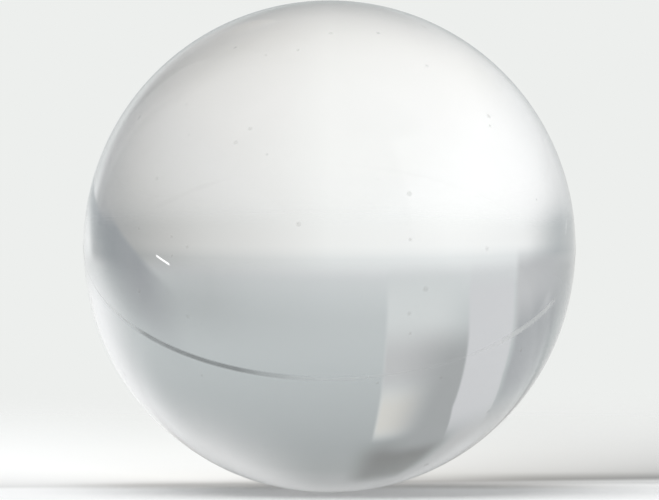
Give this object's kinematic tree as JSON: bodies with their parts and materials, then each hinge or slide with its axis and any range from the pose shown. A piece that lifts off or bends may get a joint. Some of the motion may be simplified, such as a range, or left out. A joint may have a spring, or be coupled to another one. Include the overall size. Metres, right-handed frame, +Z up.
{
  "type": "glass ball",
  "caption": "Solid clear glass ball with a fine raised parting line round its middle.",
  "frame": {"origin": "centre of the ball", "axes": "+Z up as the ball lies, +X to the right, +Y to the back; the parting line's plane passes through the X axis, with the mould's axis leaning 30.5 degrees from +Z towards -Y"},
  "size_m": [0.05, 0.05, 0.05],
  "materials": {
    "clear_glass": "clear, fire-polished, with a few fine specks and faint smudges"
  },
  "bodies": {
    "root": {"ball": "clear_glass"}
  },
  "joints": []
}
